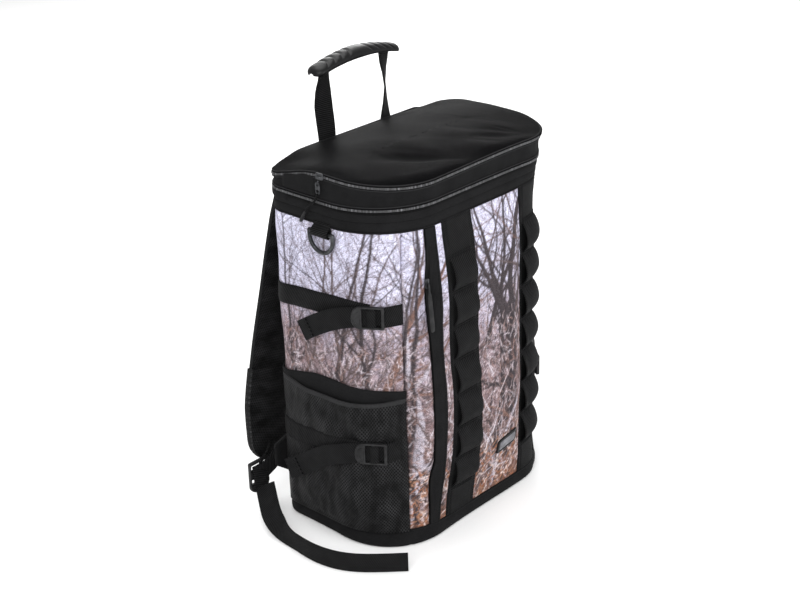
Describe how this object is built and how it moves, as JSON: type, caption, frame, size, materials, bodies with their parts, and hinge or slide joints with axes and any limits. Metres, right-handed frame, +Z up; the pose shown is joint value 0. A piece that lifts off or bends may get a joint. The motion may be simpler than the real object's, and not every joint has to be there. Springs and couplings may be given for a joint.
{
  "type": "tackle backpack",
  "caption": "Boxy fishing backpack with camouflage fabric panels, zipped lid, ladder webbing, mesh side pockets, carry handle and padded shoulder straps.",
  "frame": {"origin": "centre of the bag's plan on the floor it stands on", "axes": "+Z up, -Y out of the decorated front, +Y out of the back with the harness, -X the left side in the front view"},
  "size_m": [0.4295, 0.2723, 0.549],
  "materials": {
    "camo_fabric": "printed camouflage polyester",
    "black_fabric": "woven black polyester",
    "lid_fabric": "plain woven black polyester, padded",
    "black_mesh": "coarse black mesh",
    "air_mesh": "black spacer mesh over foam",
    "webbing": "ribbed black webbing",
    "binding": "black grosgrain binding",
    "zip_tape": "black zip tape with coil",
    "buckle_plastic": "moulded black acetal",
    "grip_rubber": "moulded black rubber",
    "pull_rubber": "dark grey moulded rubber",
    "pull_cord": "braided black cord",
    "dark_metal": "gunmetal finish",
    "patch_rubber": "blank black and grey patch",
    "liner_fabric": "plain woven lining",
    "stiff_board": "thin stiff sheet"
  },
  "bodies": {
    "pack": {"base_boot": "black_fabric", "base_board": "stiff_board", "left_side_panel": "camo_fabric", "right_side_panel": "camo_fabric", "back_panel": "black_fabric", "frame_sheet": "stiff_board", "front_panel": "camo_fabric", "front_side_strip": "camo_fabric", "front_pocket_divider": "liner_fabric", "front_zip": "zip_tape", "front_zip_flap": "binding", "upper_collar": "black_fabric", "ladder_backings": "webbing", "left_ladder_loops": "webbing", "right_ladder_loops": "webbing", "front_patch": "patch_rubber", "main_zip_lower": "zip_tape", "left_pocket_mesh": "black_mesh", "right_pocket_mesh": "black_mesh", "pocket_bindings": "binding", "pocket_liners": "black_fabric", "compression_straps": "webbing", "compression_anchors": "webbing", "ring_tabs": "webbing", "handle_roots": "webbing", "back_pad": "air_mesh", "left_shoulder_strap": "air_mesh", "right_shoulder_strap": "air_mesh", "anchor_wings": "black_fabric", "harness_webbing": "webbing", "left_strap_tail": "webbing", "right_strap_tail": "webbing"},
    "main_lid": {"main_zip_upper": "zip_tape", "lid_gusset": "black_fabric", "lid_zip_lower": "zip_tape", "lid_pocket_floor": "liner_fabric"},
    "lid_pocket_lid": {"lid_zip_upper": "zip_tape", "lid_cover": "lid_fabric"},
    "lid_zip_slider": {"lid_slider": "dark_metal"},
    "lid_zip_pull": {"lid_puller": "dark_metal", "lid_pull_cord": "pull_cord", "lid_pull_end": "pull_rubber"},
    "main_zip_slider": {"main_slider": "dark_metal"},
    "main_zip_pull": {"main_puller": "dark_metal"},
    "front_zip_slider": {"front_slider": "dark_metal"},
    "front_zip_pull": {"front_puller": "pull_rubber"},
    "carry_handle": {"handle_webbing": "webbing", "handle_grip": "grip_rubber"},
    "left_ring": {"left_d_ring": "dark_metal"},
    "right_ring": {"right_d_ring": "dark_metal"},
    "left_upper_buckle": {"left_upper_ladder_lock": "buckle_plastic", "left_upper_tail": "webbing"},
    "left_lower_buckle": {"left_lower_ladder_lock": "buckle_plastic", "left_lower_tail": "webbing"},
    "right_upper_buckle": {"right_upper_ladder_lock": "buckle_plastic", "right_upper_tail": "webbing"},
    "right_lower_buckle": {"right_lower_ladder_lock": "buckle_plastic", "right_lower_tail": "webbing"},
    "left_adjuster_buckle": {"left_adjuster": "buckle_plastic"},
    "right_adjuster_buckle": {"right_adjuster": "buckle_plastic"}
  },
  "joints": [
    {"name": "main_lid_fold", "type": "hinge", "parent": "pack", "child": "main_lid", "pos_m": [0, 0.0937, 0.453], "axis": [-1, 0, 0], "range_deg": [0, 75]},
    {"name": "lid_pocket_fold", "type": "hinge", "parent": "main_lid", "child": "lid_pocket_lid", "pos_m": [0, 0.0937, 0.453], "axis": [-1, 0, 0], "range_deg": [0, 60]},
    {"name": "lid_slider_travel", "type": "slide", "parent": "main_lid", "child": "lid_zip_slider", "axis": [0, 1, 0], "range_m": [-0.01, 0.045]},
    {"name": "lid_pull_swing", "type": "hinge", "parent": "lid_zip_slider", "child": "lid_zip_pull", "pos_m": [-0.1679, 0, 0.45], "axis": [0, 1, 0], "range_deg": [0, 90]},
    {"name": "main_slider_travel", "type": "slide", "parent": "pack", "child": "main_zip_slider", "axis": [0, 1, 0], "range_m": [-0.03, 0.015]},
    {"name": "main_pull_swing", "type": "hinge", "parent": "main_zip_slider", "child": "main_zip_pull", "pos_m": [0.1679, 0.03, 0.4235], "axis": [0, -1, 0], "range_deg": [0, 90]},
    {"name": "front_slider_travel", "type": "slide", "parent": "pack", "child": "front_zip_slider", "axis": [0, 0, 1], "range_m": [-0.27, 0.045]},
    {"name": "front_pull_swing", "type": "hinge", "parent": "front_zip_slider", "child": "front_zip_pull", "pos_m": [-0.0951, -0.0994, 0.333], "axis": [-1, 0, 0], "range_deg": [0, 110]},
    {"name": "carry_handle_fold", "type": "hinge", "parent": "pack", "child": "carry_handle", "pos_m": [0, 0.1015, 0.45], "axis": [-1, 0, 0], "range_deg": [-40, 100]},
    {"name": "left_ring_swing", "type": "hinge", "parent": "pack", "child": "left_ring", "pos_m": [-0.1664, 0, 0.391], "axis": [0, 1, 0], "range_deg": [0, 90]},
    {"name": "right_ring_swing", "type": "hinge", "parent": "pack", "child": "right_ring", "pos_m": [0.1664, 0, 0.391], "axis": [0, -1, 0], "range_deg": [0, 90]},
    {"name": "left_upper_buckle_tilt", "type": "hinge", "parent": "pack", "child": "left_upper_buckle", "pos_m": [-0.14058, -0.07424, 0.298], "axis": [0, 0, 1], "range_deg": [0, 30]},
    {"name": "left_lower_buckle_tilt", "type": "hinge", "parent": "pack", "child": "left_lower_buckle", "pos_m": [-0.14855, -0.07941, 0.1295], "axis": [0, 0, 1], "range_deg": [0, 30]},
    {"name": "right_upper_buckle_tilt", "type": "hinge", "parent": "pack", "child": "right_upper_buckle", "pos_m": [0.14058, -0.07424, 0.298], "axis": [0, 0, -1], "range_deg": [0, 30]},
    {"name": "right_lower_buckle_tilt", "type": "hinge", "parent": "pack", "child": "right_lower_buckle", "pos_m": [0.14855, -0.07941, 0.1295], "axis": [0, 0, -1], "range_deg": [0, 30]},
    {"name": "left_adjuster_tilt", "type": "hinge", "parent": "pack", "child": "left_adjuster_buckle", "pos_m": [-0.187, 0.10825, 0.06975], "axis": [1, 0, 0], "range_deg": [0, 35]},
    {"name": "right_adjuster_tilt", "type": "hinge", "parent": "pack", "child": "right_adjuster_buckle", "pos_m": [0.187, 0.10825, 0.06975], "axis": [-1, 0, 0], "range_deg": [0, 35]}
  ]
}
